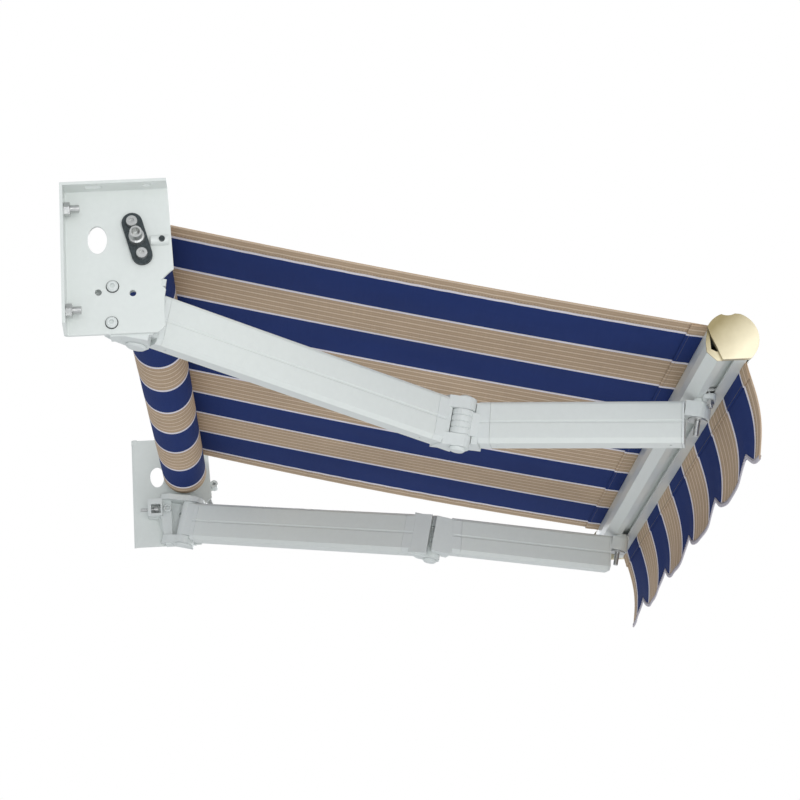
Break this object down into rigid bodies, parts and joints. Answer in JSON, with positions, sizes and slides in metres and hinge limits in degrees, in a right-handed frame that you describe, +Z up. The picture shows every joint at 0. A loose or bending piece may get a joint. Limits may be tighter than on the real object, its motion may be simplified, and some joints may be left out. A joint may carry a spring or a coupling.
{
  "type": "canvas awning",
  "caption": "Open folding-arm awning: striped canvas canopy and scalloped valance on a front bar, carried by hinged arms and wound on a roller between folded steel side plates",
  "frame": {"origin": "on the wall plane, midway between the side plates and at half their height", "axes": "+X along the roller, +Y into the wall, +Z up; the awning reaches out along -Y"},
  "size_m": [1.2993, 0.8945, 0.4007],
  "materials": {
    "white_enamel": "satin enamel",
    "white_casting": "satin enamel on a fine cast surface",
    "zinc_steel": "bright zinc",
    "dark_steel": "dark phosphate",
    "plug_plastic": "matte",
    "gold_cap": "polished pale gold",
    "striped_canvas": "woven canvas, blue and sand stripes with pale pinstripes"
  },
  "bodies": {
    "frame": {"side_plate_left": "white_enamel", "side_plate_right": "white_enamel", "wall_stud_upper_left": "zinc_steel", "wall_stud_upper_right": "zinc_steel", "wall_stud_lower_left": "zinc_steel", "wall_stud_lower_right": "zinc_steel", "wall_nut_upper_left": "zinc_steel", "wall_nut_upper_right": "zinc_steel", "wall_nut_lower_left": "zinc_steel", "wall_nut_lower_right": "zinc_steel", "shoulder_bracket_left": "white_casting", "shoulder_bracket_right": "white_casting", "shoulder_screw_upper_left": "white_casting", "shoulder_screw_upper_right": "white_casting", "shoulder_screw_lower_left": "white_casting", "shoulder_screw_lower_right": "white_casting", "shoulder_nut_left": "white_casting", "shoulder_nut_right": "white_casting", "adjusting_screw_left": "zinc_steel", "adjusting_screw_right": "zinc_steel", "shoulder_pin_left": "white_casting", "shoulder_pin_right": "white_casting", "bearing_plate_left": "dark_steel", "bearing_stud_left": "zinc_steel", "bearing_screw_upper": "zinc_steel", "bearing_screw_lower": "zinc_steel", "cover_lug_left": "white_enamel", "cover_screw_left": "dark_steel", "gearbox_right": "white_enamel", "canopy": "striped_canvas"},
    "roller": {"roller_tube": "zinc_steel", "fabric_roll": "striped_canvas", "roller_plug_left": "plug_plastic", "roller_plug_right": "plug_plastic"},
    "crank": {"crank_eye_right": "zinc_steel"},
    "upper_left": {"shoulder_fitting_left": "white_casting", "upper_arm_left": "white_enamel", "elbow_fork_left": "white_casting", "elbow_pin_left": "white_casting"},
    "fore_left": {"elbow_knuckle_left": "white_casting", "forearm_left": "white_enamel", "wrist_fitting_left": "white_casting"},
    "upper_right": {"shoulder_fitting_right": "white_casting", "upper_arm_right": "white_enamel", "elbow_fork_right": "white_casting", "elbow_pin_right": "white_casting"},
    "fore_right": {"elbow_knuckle_right": "white_casting", "forearm_right": "white_enamel", "wrist_fitting_right": "white_casting"},
    "bar": {"front_bar": "white_enamel", "valance": "striped_canvas", "end_cap_left": "gold_cap", "end_cap_right": "gold_cap", "wrist_seat_left": "white_casting", "wrist_seat_right": "white_casting", "clamp_bolt_left": "zinc_steel", "clamp_bolt_right": "zinc_steel", "wrist_pin_left": "zinc_steel", "wrist_pin_right": "zinc_steel"}
  },
  "joints": [
    {"name": "left_shoulder", "type": "hinge", "parent": "frame", "child": "upper_left", "pos_m": [-0.58, -0.09831, -0.06658], "axis": [0, -0.2368, 0.9715], "range_deg": [0, 58.3], "deforming": ["canopy"]},
    {"name": "left_elbow", "type": "hinge", "parent": "upper_left", "child": "fore_left", "pos_m": [-0.36, -0.52113, -0.16965], "axis": [0, -0.2368, 0.9715], "range_deg": [-134.09, 0]},
    {"name": "left_wrist", "type": "hinge", "parent": "fore_left", "child": "bar", "pos_m": [-0.414, -0.84336, -0.18541], "axis": [0, -0.2368, 0.9715], "range_deg": [0, 75.79]},
    {"name": "right_shoulder", "type": "hinge", "parent": "frame", "child": "upper_right", "pos_m": [0.58, -0.09831, -0.06658], "axis": [0, -0.2368, 0.9715], "range_deg": [-58.3, 0]},
    {"name": "right_elbow", "type": "hinge", "parent": "upper_right", "child": "fore_right", "pos_m": [0.36, -0.52113, -0.16965], "axis": [0, -0.2368, 0.9715], "range_deg": [0, 134.09]},
    {"name": "roller_spin", "type": "hinge", "parent": "frame", "child": "roller", "pos_m": [0, -0.0965, 0.0265], "axis": [1, 0, 0], "range_deg": [-968, 0]},
    {"name": "crank_turn", "type": "hinge", "parent": "frame", "child": "crank", "pos_m": [0.64, -0.13, 0.003], "axis": [0, -0.36, -0.933], "continuous": true}
  ],
  "couplings": [
    {"joint": "left_elbow", "follows": "left_shoulder", "ratio": -2.3},
    {"joint": "left_wrist", "follows": "left_shoulder", "ratio": 1.3},
    {"joint": "right_shoulder", "follows": "left_shoulder", "ratio": -1},
    {"joint": "right_elbow", "follows": "left_shoulder", "ratio": 2.3},
    {"joint": "roller_spin", "follows": "left_shoulder", "ratio": -16.6}
  ]
}
